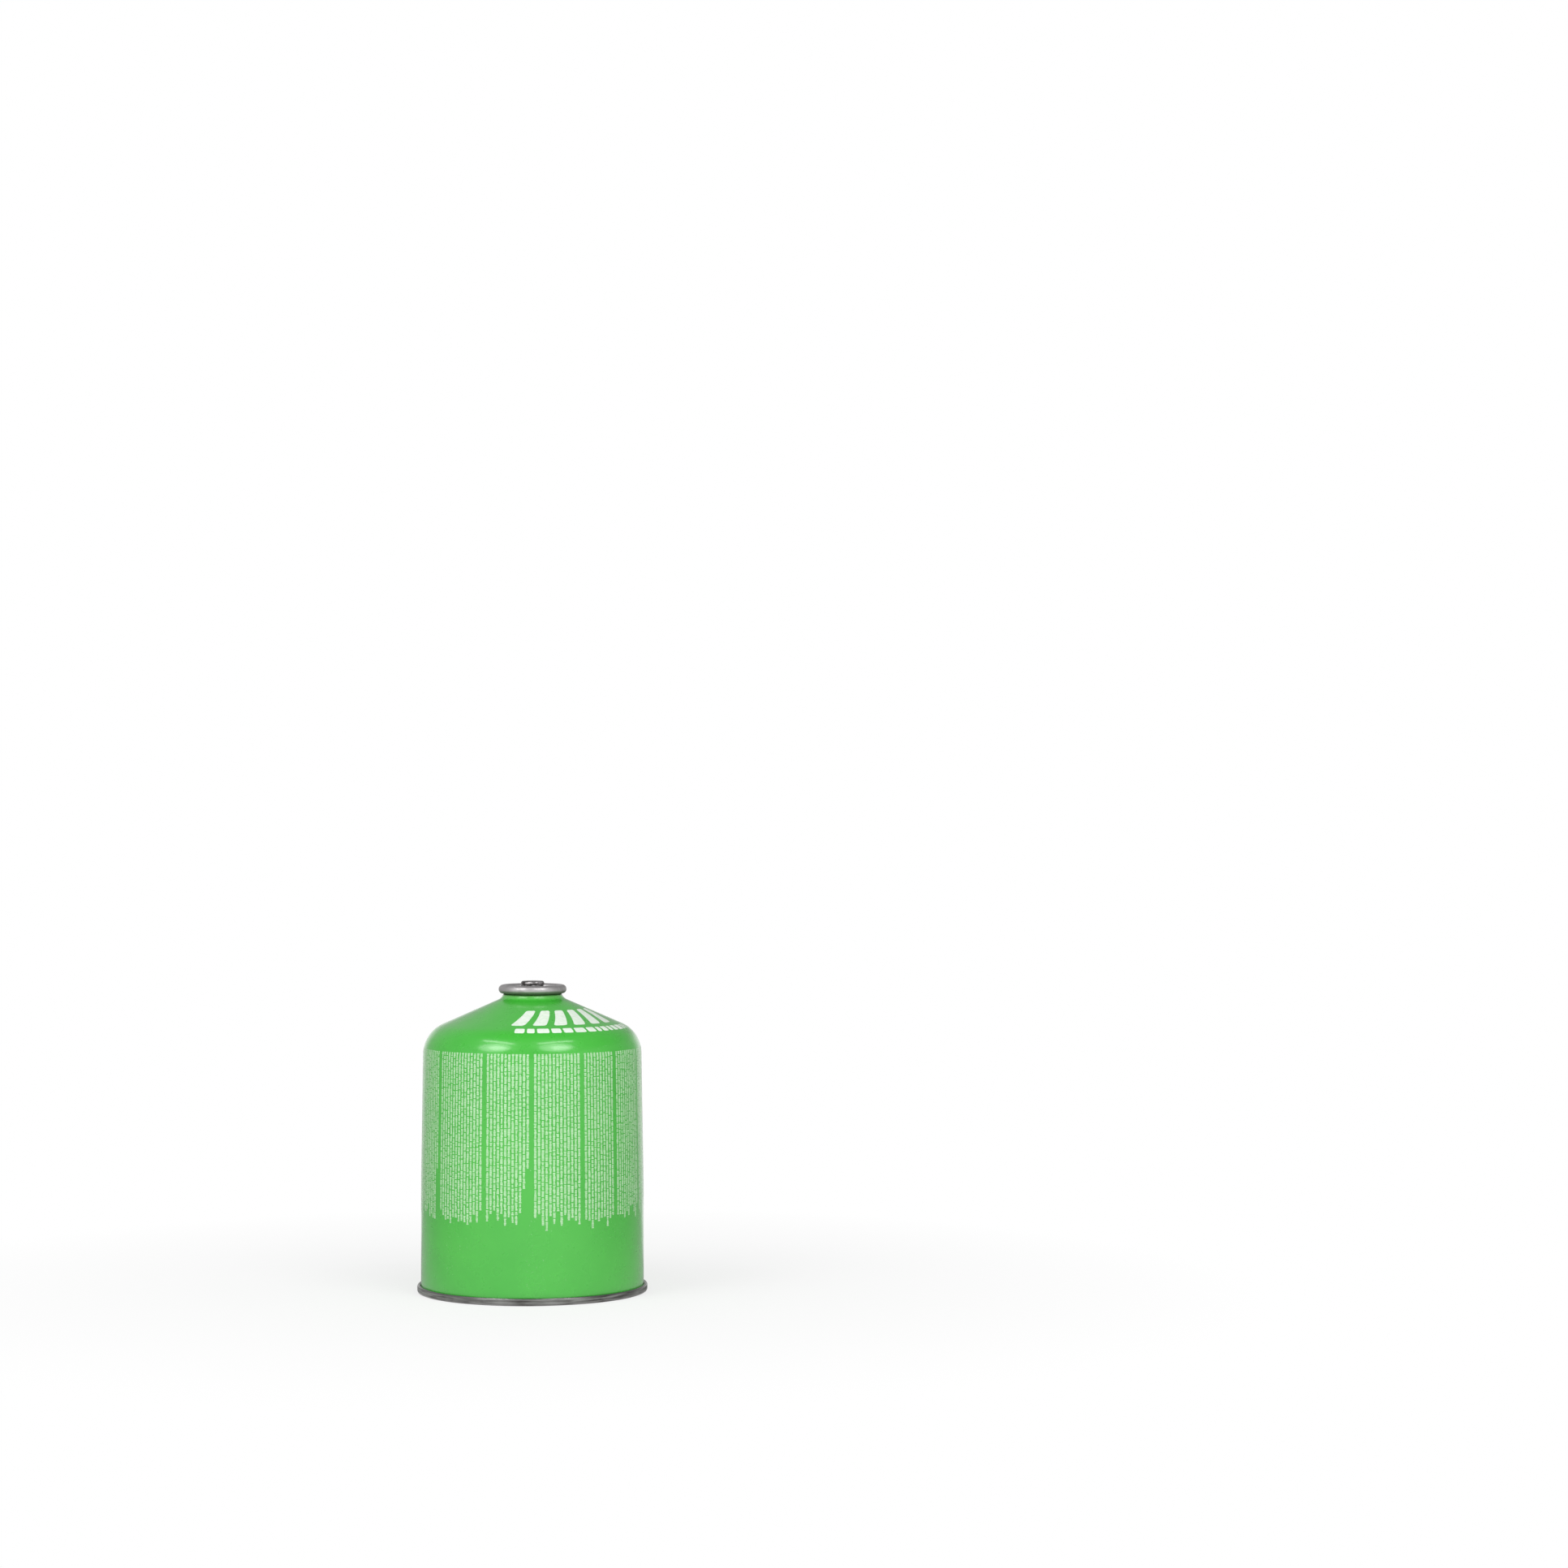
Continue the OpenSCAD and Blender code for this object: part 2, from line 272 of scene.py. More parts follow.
def soft_noise(seed, waves=5):
    """A smooth function of a height or radius and an angle, mostly from -1 to 1, that closes
    round the canister."""
    draw = random.Random(seed)
    terms = [
        (draw.randint(1, 7), draw.uniform(15, 70), draw.uniform(0, 6.3), draw.uniform(0.4, 1))
        for _ in range(waves)
    ]
    # all the waves' crests rarely meet, so their sum is raised to fill the range
    scale = 1 / sum(t[3] for t in terms) * 1.6

    def value(z, angle):
        return scale * sum(w * math.sin(n * angle + k * z + p) for n, k, p, w in terms)

    return value


# ---- materials -------------------------------------------------------------------


def srgb(r, g, b):
    """A colour from its 0 to 255 screen values, as linear red, green, blue, alpha."""
    linear = [
        v / 255 / 12.92 if v <= 10.3 else ((v / 255 + 0.055) / 1.055) ** 2.4 for v in (r, g, b)
    ]
    return (*linear, 1)


def ramp_stops(node, stops):
    """Sets a ramp node's stops from (position, grey or colour) pairs."""
    elements = node.color_ramp.elements
    while len(elements) < len(stops):
        elements.new(0.5)
    for element, (position, colour) in zip(elements, stops):
        element.position = position
        element.color = colour if isinstance(colour, tuple) else (colour,) * 3 + (1,)


class Nodes:
    """A material's node tree, with short calls for the nodes that the materials share."""

    def __init__(self, name):
        self.material = bpy.data.materials.new(name)
        self.material.use_nodes = True
        self.tree = self.material.node_tree
        self.shader = self.tree.nodes["Principled BSDF"]
        self.place = self.add("ShaderNodeTexCoord").outputs["Object"]

    def add(self, kind, **values):
        node = self.tree.nodes.new(kind)
        for key, value in values.items():
            setattr(node, key, value)
        return node

    def link(self, source, target):
        self.tree.links.new(source, target)

    def scaled(self, x, y, z):
        mapping = self.add("ShaderNodeMapping")
        mapping.inputs["Scale"].default_value = (x, y, z)
        self.link(self.place, mapping.inputs["Vector"])
        return mapping.outputs["Vector"]

    def split(self, vector=None):
        node = self.add("ShaderNodeSeparateXYZ")
        self.link(vector or self.place, node.inputs[0])
        return node

    def noise(self, scale, detail=3, roughness=0.5, at=None):
        node = self.add("ShaderNodeTexNoise")
        node.inputs["Scale"].default_value = scale
        node.inputs["Detail"].default_value = detail
        node.inputs["Roughness"].default_value = roughness
        self.link(at or self.place, node.inputs["Vector"])
        return node.outputs["Fac"]

    def ramp(self, value, *stops):
        """A ramp of (position, grey or colour) stops."""
        node = self.add("ShaderNodeValToRGB")
        self.link(value, node.inputs["Fac"])
        ramp_stops(node, stops)
        return node.outputs["Color"]

    def math(self, operation, a, b):
        node = self.add("ShaderNodeMath", operation=operation)
        for socket, value in zip(node.inputs, (a, b)):
            if isinstance(value, (int, float)):
                socket.default_value = value
            else:
                self.link(value, socket)
        return node.outputs[0]

    def mix(self, factor, a, b):
        node = self.add("ShaderNodeMix", data_type="RGBA")
        for socket, value in zip((node.inputs[0], node.inputs[6], node.inputs[7]), (factor, a, b)):
            if isinstance(value, (int, float, tuple)):
                socket.default_value = value
            else:
                self.link(value, socket)
        return node.outputs[2]

    def bump(self, height, distance, strength=1, below=None):
        node = self.add("ShaderNodeBump")
        node.inputs["Distance"].default_value = distance
        node.inputs["Strength"].default_value = strength
        self.link(height, node.inputs["Height"])
        if below:
            self.link(below, node.inputs["Normal"])
        return node.outputs["Normal"]

    def set(self, **values):
        for key, value in values.items():
            socket = self.shader.inputs[key.replace("_", " ")]
            if isinstance(value, bpy.types.NodeSocket):
                self.link(value, socket)
            else:
                socket.default_value = value


def enamel(name, light, dark):
    """Glossy paint on steel: faint clouding, orange peel, fine specks of dust in the coat, painted
    light that makes the neck paler, and painted shade under the mouth's rim."""
    m = Nodes(name)
    clouds = m.ramp(m.noise(28, 4), (0.35, 0.0), (0.65, 1.0))
    colour = m.mix(clouds, dark, light)
    specks = m.ramp(m.noise(1500, 1), (0.735, 0.0), (0.76, 1.0))
    patches = m.ramp(m.noise(45, 2), (0.52, 0.0), (0.62, 1.0))
    specked = m.math("MULTIPLY", m.math("MULTIPLY", specks, patches), 0.55)
    colour = m.mix(specked, colour, srgb(190, 232, 184))
    # paler where it is stretched over the neck
    # painted light: the paint turns paler up the neck, standing in for light falling on it from the
    # front
    split = m.split()
    neck = m.math("MULTIPLY", m.math("SUBTRACT", split.outputs["Z"], DOME_TOP_Z), 250)
    colour = m.mix(m.ramp(neck, (0.0, 0.0), (0.4, 0.5)), colour, srgb(140, 224, 124))
    # painted shade: the paint darkens in the corner under the rim
    corner = m.math("SUBTRACT", split.outputs["Z"], LEAN_LOW_Z - 0.7 * MM)
    rim_shade = m.ramp(m.math("MULTIPLY", corner, 1000), (0.0, 0.0), (0.75, 0.85))
    m.set(Base_Color=m.mix(rim_shade, colour, srgb(34, 52, 30)))
    m.set(Roughness=m.ramp(m.noise(160, 3), (0.3, 0.24), (0.7, 0.36)))
    m.set(Coat_Weight=0.9, Coat_Roughness=0.12)
    peel = m.bump(m.noise(520, 2), 0.00003, 0.5)
    m.set(Normal=m.bump(m.noise(90, 2), 0.00008, 0.35, below=peel))
    return m.material


def tinplate(name, colour, worn, roughness):
    """Bare tinned steel: fine rolled lines round the axis, dull patches, small dark spots, painted
    shade under the rim and in the thread's groove, and dark patches round the boss's top."""
    m = Nodes(name)
    rolled = m.noise(1, 6, 0.65, at=m.scaled(60, 60, 9000))
    stains = m.ramp(m.noise(130, 5, 0.6), (0.42, 0.0), (0.66, 1.0))
    spots = m.ramp(m.noise(900, 2), (0.70, 0.0), (0.76, 1.0))
    tint = m.mix(m.math("MULTIPLY", stains, 0.55), colour, worn)
    tint = m.mix(m.math("MULTIPLY", spots, 0.4), tint, srgb(92, 86, 78))
    split = m.split()
    flat = m.add("ShaderNodeCombineXYZ")
    m.link(split.outputs["X"], flat.inputs["X"])
    m.link(split.outputs["Y"], flat.inputs["Y"])
    length = m.add("ShaderNodeVectorMath", operation="LENGTH")
    m.link(flat.outputs[0], length.inputs[0])
    # the distance from the axis, in decimetres
    radius = m.math("MULTIPLY", length.outputs["Value"], 10)
    # rougher under the rim, and painted shade there: a darker grey
    lower = m.math("MULTIPLY", m.math("SUBTRACT", CURL_Z, split.outputs["Z"]), 500)
    under = m.ramp(lower, (0.1, 0.0), (0.7, 1.0))
    under = m.math("MULTIPLY", under, m.ramp(radius, (0.143, 0.0), (0.147, 1.0)))
    tint = m.mix(m.math("MULTIPLY", under, 0.8), tint, srgb(112, 108, 103))
    # painted shade: dark in the thread's groove
    groove_shade = m.ramp(radius, (0.0495, 0.0), (0.0505, 0.85), (0.0525, 0.6), (0.0545, 0.0))
    tint = m.mix(groove_shade, tint, srgb(52, 50, 47))
    # dark patches round the boss's top
    edge = m.ramp(radius, (0.044, 0.0), (0.049, 1.0), (0.062, 1.0), (0.066, 0.0))
    marks = m.ramp(m.noise(420, 2), (0.46, 0.0), (0.60, 0.8))
    tint = m.mix(m.math("MULTIPLY", edge, marks), tint, srgb(44, 42, 40))
    m.set(Base_Color=tint)
    m.set(Metallic=0.88)
    dull = m.math("ADD", m.math("MULTIPLY", stains, 0.14), m.math("MULTIPLY", under, 0.22))
    lines = m.math("MULTIPLY", rolled, 0.16)
    m.set(Roughness=m.math("ADD", m.math("ADD", dull, lines), roughness - 0.08))
    m.set(Normal=m.bump(rolled, 0.000012, 0.7))
    return m.material


def seam_steel(name, bright, dark):
    """Tinplate with long dark streaks on the seam's outer face, and none on its upper edge."""
    m = Nodes(name)
    split = m.split()
    streaks = m.ramp(m.noise(1, 5, 0.6, at=m.scaled(70, 70, 1500)), (0.33, 0.15), (0.58, 1.0))
    patches = m.ramp(m.noise(60, 3), (0.35, 0.45), (0.7, 1.0))
    face = m.ramp(m.math("MULTIPLY", split.outputs["Z"], 250), (0.74, 1.0), (0.90, 0.0))
    dark_streaks = m.math("MULTIPLY", m.math("MULTIPLY", streaks, patches), face)
    m.set(Base_Color=m.mix(dark_streaks, bright, dark))
    m.set(Metallic=1.0)
    m.set(Roughness=m.math("ADD", m.math("MULTIPLY", dark_streaks, 0.2), 0.26))
    m.set(Normal=m.bump(m.noise(1, 6, 0.65, at=m.scaled(60, 60, 9000)), 0.000012, 0.7))
    return m.material


def rubber(name, colour):
    """Matt rubber or compound with a fine grain."""
    m = Nodes(name)
    m.set(Base_Color=m.mix(m.noise(700, 3), colour, srgb(52, 51, 50)))
    m.set(Roughness=m.ramp(m.noise(1200, 2), (0.3, 0.55), (0.7, 0.8)))
    m.set(Normal=m.bump(m.noise(2500, 3), 0.00002, 0.5))
    return m.material


def moulded(name, colour):
    """Moulded plastic, faintly mottled."""
    m = Nodes(name)
    m.set(Base_Color=m.mix(m.math("MULTIPLY", m.noise(300, 3), 0.4), colour, srgb(150, 146, 130)))
    m.set(Roughness=m.ramp(m.noise(900, 2), (0.3, 0.38), (0.7, 0.55)))
    m.set(Subsurface_Weight=0.1, Subsurface_Scale=0.001)
    m.set(Normal=m.bump(m.noise(1800, 2), 0.00001, 0.4))
    return m.material


def ink(name, colour, thin):
    """Pale ink that the green shows through a little where it lies thin."""
    m = Nodes(name)
    m.set(Base_Color=m.mix(m.ramp(m.noise(650, 3), (0.4, 0.0), (0.75, 0.8)), colour, thin))
    m.set(Roughness=m.ramp(m.noise(300, 2), (0.3, 0.28), (0.7, 0.4)))
    m.set(Coat_Weight=0.5, Coat_Roughness=0.1)
    return m.material


GREEN = enamel("green_enamel", srgb(67, 188, 57), srgb(58, 180, 51))
STEEL = seam_steel("seam_tinplate", srgb(160, 160, 158), srgb(70, 68, 66))
CUP_STEEL = tinplate("cup_tinplate", srgb(204, 201, 202), srgb(160, 157, 154), 0.38)
SMALL_INK = ink("fine_print_ink", srgb(188, 229, 182), srgb(148, 207, 141))
BOLD_INK = ink("bold_print_ink", srgb(240, 250, 238), srgb(214, 240, 208))
BLACK_RUBBER = rubber("black_rubber", srgb(30, 30, 31))
COMPOUND = rubber("seam_compound", srgb(120, 110, 92))
WHITE_PLASTIC = moulded("housing_plastic", srgb(226, 226, 216))
CREAM_PLASTIC = moulded("piston_plastic", srgb(220, 208, 176))
WIRE = tinplate("spring_wire", srgb(190, 190, 194), srgb(160, 160, 164), 0.2)


def painted(obj, material):
    """Gives the object one material, and returns the object."""
    obj.data.materials.clear()
    obj.data.materials.append(material)
    return obj


# ---- the can ---------------------------------------------------------------------

can_side = [
    (WALL_MID, CAN_TURN_Z),
    (WALL_MID, BELLY_Z, BELLY_BEND_R),
    (SHOULDER_MID, SHOULDER_Z, SHOULDER_R - CAN_T / 2),
    (NECK_FOOT_MID, DOME_TOP_Z, NECK_BEND_R),
]
shell_path = (
    [Vector((CAN_HOOK_MID, BASE_TURN_Z))]
    + arc(((WALL_MID + CAN_HOOK_MID) / 2, CAN_TURN_Z), CAN_TURN_R, 0, -176)
    + bent(can_side + [
        (NECK_MID, LEAN_LOW_Z, 0.6 * MM),
        (MOUTH_MID, LEAN_TOP_Z, 0.9 * MM),
        (MOUTH_MID, CURL_Z - 0.2 * MM),
    ])
    + arc((CURL_POS, CURL_Z), CURL_R - CAN_T / 2, 180, -95)
)
shell_section = sheet_section(shell_path, CAN_T, 3 * MM)
# the outline of the can's painted side, from the seam up to the neck
outside = beside(finer(bent(can_side + [(NECK_MID, LEAN_LOW_Z)]), 0.5 * MM), -CAN_T / 2)

# how far the wall and the dome are out of true
WALL_WAVE = 0.06 * MM
DOME_WAVE = 0.05 * MM
wall_wave = soft_noise(5)
dome_wave = soft_noise(8)


def shell_shape(r, z, angle):
    """The can is a little out of true on its free wall and dome, and true at its seam and neck."""
    wall = share(z, 8 * MM, 28 * MM) * share(SHOULDER_Z - z, 0, 12 * MM)
    dome = share(r, 20 * MM, 30 * MM) * share(z - SHOULDER_Z, 0, 4 * MM)
    # taking off a half keeps the waves mostly inward
    r += wall * WALL_WAVE * (wall_wave(z, angle) - 0.5)
    z += dome * DOME_WAVE * (dome_wave(r, angle) - 0.5)
    return r, z


canister = lathe("painted_can", shell_section, 264, shell_shape)
painted(canister, GREEN)
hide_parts("canister_shell")


def outside_at(z):
    """The can's outer radius at a height."""
    for p, q in zip(outside, outside[1:]):
        if p.y <= z <= q.y:
            return p.x + (q.x - p.x) * share(z, p.y, max(q.y, p.y + TINY))
    return outside[-1].x


# ---- the print -------------------------------------------------------------------

INK_T = 0.02 * MM
PRINT_TOP = 116.9 * MM
PRINT_LOW = 40.2 * MM
LINES_ROUND = 189
# what the lines' lower ends and the ticks' widths are drawn from, in millimetres
LINE_ENDS = (-1.8, -1.0, -0.4, 0, 0, 0.4, 0.8, 1.4, 2.2, 3.5, 5)
TICK_WIDTHS = (0.78, 1.0, 1.1, 1.2)
# the space after each tick of a group
TICK_GAP = 0.1 * MM


def wall_point(angle, z):
    """A point on the wall's ink."""
    r, height = shell_shape(outside_at(z), z, angle)
    return ((r + INK_T) * math.cos(angle), (r + INK_T) * math.sin(angle), height)


def print_band():
    """Plain ticks of ink in upright lines, in blocks of lines with ragged lower ends."""
    points, faces = [], []

    def tick(angle, low, high, width):
        half = width / 2 / CAN_R
        start = len(points)
        for a, z in ((-half, low), (half, low), (half, high), (-half, high)):
            points.append(wall_point(angle + a, z))
        faces.append([start, start + 1, start + 2, start + 3])

    pitch = 2 * math.pi / LINES_ROUND
    left_in_block, cut = rng.randint(8, 15), 0
    for line in range(LINES_ROUND):
        if left_in_block == 0:
            # one bare line between two blocks
            left_in_block, cut = rng.randint(8, 15), rng.choice((0, 0, 1, 2))
            continue
        left_in_block -= 1
        stop = PRINT_LOW + rng.choice(LINE_ENDS) * MM
        if left_in_block < cut:
            # a block's last lines may stop well above its others
            stop += rng.uniform(4, 48) * MM
        z = PRINT_TOP - rng.uniform(0, 0.15) * MM
        while z > stop:
            for _ in range(rng.randint(2, 7)):
                length = rng.uniform(0.45, 0.85) * MM
                width = rng.choice(TICK_WIDTHS) * MM
                slip = rng.uniform(-0.07, 0.07) * MM / CAN_R
                tick((line + 0.5) * pitch + slip, z - length, z, width)
                z -= length + TICK_GAP
            z -= rng.uniform(0.25, 0.5) * MM
    return mesh_object("printed_lines", points, faces)


painted(print_band(), SMALL_INK)


def dome_point(r, angle):
    """A point on the ink of the dome or the shoulder at a radius, set off square to its slope."""
    for p, q in zip(outside, outside[1:]):
        if q.x <= r <= p.x:
            break
    z = q.y + (p.y - q.y) * (r - q.x) / (p.x - q.x)
    slope = math.atan2(q.y - p.y, p.x - q.x)
    r, z = shell_shape(r, z, angle)
    r, z = r + INK_T * math.sin(slope), z + INK_T * math.cos(slope)
    return (r * math.cos(angle), r * math.sin(angle), z)


PATCH_STEP = 1.2 * MM
CORNER_TURNS = 6


def dome_patch(points, faces, low, high, start, end, corner, slant=0):
    """Adds a patch of ink between two radii and two angles in degrees, with round corners.
    slant is how far, in degrees, its outer side lies beyond its inner side."""
    start, end = math.radians(start), math.radians(end)
    middle, half = (low + high) / 2, (high - low) / 2
    cap = corner / middle
    n = max(2, math.ceil((end - start) * middle / PATCH_STEP))
    turns = [math.pi / 2 * i / CORNER_TURNS for i in range(CORNER_TURNS + 1)]
    ends = [(cap * (1 - math.sin(b)), half - corner * (1 - math.cos(b))) for b in turns]
    stations = [(start + a, w) for a, w in ends[::-1]]
    stations += [(start + cap + (end - start - 2 * cap) * i / n, half) for i in range(1, n)]
    stations += [(end - a, w) for a, w in ends]
    rows = max(2, round((high - low) / PATCH_STEP))
    first = len(points)
    for angle, width in stations:
        for k in range(rows + 1):
            across = width * (2 * k / rows - 1)
            lean = math.radians(slant) * across / (high - low)
            points.append(dome_point(middle + across, angle + lean))
    for i in range(len(stations) - 1):
        for k in range(rows):
            a = first + i * (rows + 1) + k
            faces.append([a, a + 1, a + rows + 2, a + rows + 1])


# the marks start at the front of the dome and go round to its right; all angles are in degrees
MARK_START = -97
BARS = 6
BAR_PITCH = 15
BAR_WIDTH = 9.6
BAR_SLANT = -9
BAR_RADII = (25.5 * MM, 39.5 * MM)
BAR_CORNER = 1.2 * MM
DASHES_ROUND = 90
DASH_LENGTHS = (3.2, 4.6, 6.0, 7.4)
DASH_GAP = 1.5
DASH_RADII = (42.3 * MM, 45.7 * MM)
DASH_CORNER = 0.7 * MM


def dome_bars():
    """Plain slanting bars of ink side by side."""
    points, faces = [], []
    for k in range(BARS):
        start = MARK_START + BAR_PITCH * k
        end = start + BAR_WIDTH
        dome_patch(points, faces, *BAR_RADII, start, end, BAR_CORNER, BAR_SLANT)
    return mesh_object("dome_bars", points, faces)


def dome_dashes():
    """A row of plain dashes of ink below the bars."""
    points, faces = [], []
    angle = MARK_START
    while angle < MARK_START + DASHES_ROUND:
        length = rng.choice(DASH_LENGTHS)
        dome_patch(points, faces, *DASH_RADII, angle, angle + length, DASH_CORNER)
        angle += length + DASH_GAP
    return mesh_object("dome_dashes", points, faces)


painted(dome_bars(), BOLD_INK)
painted(dome_dashes(), BOLD_INK)

# ---- the base --------------------------------------------------------------------

# the height of the base's step, and how far its middle bows up above that
STEP_H = 5 * MM
BASE_RISE = base_high.z - STEP_H - BASE_T
DOME_ANGLE = math.atan(BASE_RISE / (STEP_MID / 2))
# the base's dome is one wide bend, which takes up nine tenths of its slope
DOME_BEND_R = 0.9 * STEP_MID / 2 / math.tan(DOME_ANGLE / 2)
edge_z = STEP_H + BASE_T / 2
base_path = (
    bent([
        (0, edge_z + BASE_RISE),
        (STEP_MID / 2, edge_z + BASE_RISE, DOME_BEND_R),
        (STEP_MID, edge_z, 1.5 * MM),
        (STEP_MID, BASE_T / 2, 0.9 * MM),
        (SEAM_MID, BASE_T / 2, 0.9 * MM),
        (SEAM_MID, BASE_TURN_Z - 0.05 * MM),
    ])
    + arc(((SEAM_MID + BASE_HOOK_MID) / 2, BASE_TURN_Z), BASE_TURN_R, 0, 180)
    + [Vector((BASE_HOOK_MID, CAN_TURN_Z))]
)
base_section = sheet_section(base_path, BASE_T, 2 * MM)
seam_wave = soft_noise(21, 7)


def base_shape(r, z, angle):
    """The seaming roller's faint waves in the seam."""
    seam = share(r - SEAM_MID, -0.05 * MM, 0.15 * MM)
    low = math.exp(-(((z - 2.0 * MM) / (0.7 * MM)) ** 2))
    r -= seam * low * (0.05 + 0.02 * seam_wave(0, angle)) * MM
    return r, z


base = lathe("seamed_base", base_section, 288, base_shape)
painted(base, STEEL)
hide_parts("base_end")

# ---- the valve cup ---------------------------------------------------------------

cup_path = arc((CURL_POS, CURL_Z), RIM_MID, -68, 180) + bent([
    (CUP_WALL_MID, CURL_Z - 0.1 * MM),
    (CUP_WALL_MID, CUP_LEAN_Z, 0.5 * MM),
    (CRIMP_MID, CRIMP_Z, 0.5 * MM),
    (CRIMP_MID, CRIMP_Z - CRIMP_H, 0.5 * MM),
    (CUP_WALL_MID, CRIMP_Z - CRIMP_H - (CRIMP_MID - CUP_WALL_MID), 0.5 * MM),
    (CUP_WALL_MID, FLOOR_Z, 1.2 * MM),
    (BOSS_MID, FLOOR_Z, 0.8 * MM),
    (BOSS_MID, GROOVE_Z, 0.3 * MM),
    (BOSS_MID - GROOVE_IN, GROOVE_Z + GROOVE_IN, 0.25 * MM),
    (BOSS_MID - GROOVE_IN, GROOVE_Z + GROOVE_IN + GROOVE_H, 0.25 * MM),
    (BOSS_MID, GROOVE_Z + 2 * GROOVE_IN + GROOVE_H, 0.3 * MM),
    (BOSS_MID, BOSS_TOP_Z, 0.8 * MM),
    (PORT_R, BOSS_TOP_Z),
])
# the boss is cut finer than the rest, for its thread
boss = next(i for i, p in enumerate(cup_path) if p.x < THREAD_R and p.y > FLOOR_Z)
cup_path = cup_path[:boss] + finer(cup_path[boss:], 0.13 * MM)
cup_section = sheet_section(cup_path, CUP_T, 0.3 * MM)
THREAD_LOW = GROOVE_Z + 2 * GROOVE_IN + GROOVE_H + 0.2 * MM
THREAD_TOP = BOSS_TOP_Z - 0.75 * MM
# the dents of the crimping tool's jaws
JAWS = 8
DENT = 0.18 * MM


def smooth_share(x, low, high):
    """share, with a soft start and end."""
    t = share(x, low, high)
    return t * t * (3 - 2 * t)


def cup_shape(r, z, angle):
    """Rolls the thread into the boss, and shows the jaws of the crimping tool."""
    if r < THREAD_R + 0.1 * MM and z > THREAD_LOW - PITCH:
        fade = smooth_share(z, THREAD_LOW, THREAD_LOW + PITCH)
        fade *= 1 - smooth_share(z, THREAD_TOP - 0.7 * PITCH, THREAD_TOP)
        turn = z / PITCH - angle / (2 * math.pi)
        wave = 0.5 - 0.5 * math.cos(2 * math.pi * turn)
        # the crests are cut off flat
        crest = min(1, 1.35 * wave)
        r -= fade * THREAD_DEPTH * (1 - crest)
    crimp = math.exp(-(((z - CRIMP_Z + CRIMP_H / 2) / (1.0 * MM)) ** 2))
    if r > CUP_WALL_MID - 1 * MM and crimp > 0.01:
        r -= crimp * DENT * (0.5 - 0.5 * math.cos(JAWS * angle)) ** 3
    return r, z


cup = lathe("crimped_valve_cup", cup_section, 208, cup_shape)
painted(cup, CUP_STEEL)
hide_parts("valve_cup")

# ---- the spring ------------------------------------------------------------------

WIRE_R = 0.225 * MM
# the wire is drawn a hair thinner than it is, to stay inside its box
WIRE_FIT = 0.98
WIRE_SIDES = 14
SPRING_TURNS = 7
TURN_RINGS = 48
spring_r = spring_high.x - WIRE_R
rise = spring_high.z - spring_low.z - 2 * WIRE_R


def spring_point(along, side):
    """A point on the wire, at a share of its length and one of its sides."""
    closed, closed_rise = 1 / SPRING_TURNS, 1.06 * 2 * WIRE_R / rise
    if along < closed:
        climb = closed_rise * along / closed
    elif along > 1 - closed:
        climb = 1 - closed_rise * (1 - along) / closed
    else:
        climb = closed_rise + (1 - 2 * closed_rise) * (along - closed) / (1 - 2 * closed)
    a = 2 * math.pi * SPRING_TURNS * along
    b = 2 * math.pi * side / WIRE_SIDES
    r = spring_r + WIRE_R * WIRE_FIT * math.cos(b)
    z = spring_low.z + WIRE_R + rise * climb + WIRE_R * WIRE_FIT * math.sin(b)
    return (r * math.cos(a), r * math.sin(a), z)


def coil_spring():
    """A round wire in a coil, whose first and last turns are closed."""
    rings, sides = SPRING_TURNS * TURN_RINGS, WIRE_SIDES
    points = [spring_point(k / rings, i) for k in range(rings + 1) for i in range(sides)]
    faces = []
    for k in range(rings):
        here, there = k * sides, (k + 1) * sides
        for i in range(sides):
            j = (i + 1) % sides
            faces.append([here + i, there + i, there + j, here + j])
    faces += [list(range(sides)), [rings * sides + i for i in reversed(range(sides))]]
    return mesh_object("coiled_spring", points, faces)


spring = outward(painted(coil_spring(), WIRE))
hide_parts("valve_spring")
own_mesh(spring)

# ---- the pieces shown as the CAD has them ----------------------------------------

for node, material in (
    ("seam_compound", COMPOUND),
    ("cup_gasket", BLACK_RUBBER),
    ("valve_housing", WHITE_PLASTIC),
    ("stem_gasket", BLACK_RUBBER),
    ("valve_piston", CREAM_PLASTIC),
):
    painted(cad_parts[node], material)

# ---- floor, light and camera -----------------------------------------------------

FLOOR_HALF = 6
WHITE = (1, 1, 1, 1)
# what reflections show round the horizon: greys from the camera's side, 0, to the far side, 1,
# white in front and behind, and darker at the sides so that the canister's edges stay green
GREY_SIDES = ((0.0, 1.0), (0.2, 0.85), (0.5, 0.5), (0.68, 0.38), (0.9, 0.38), (0.975, 1.0))


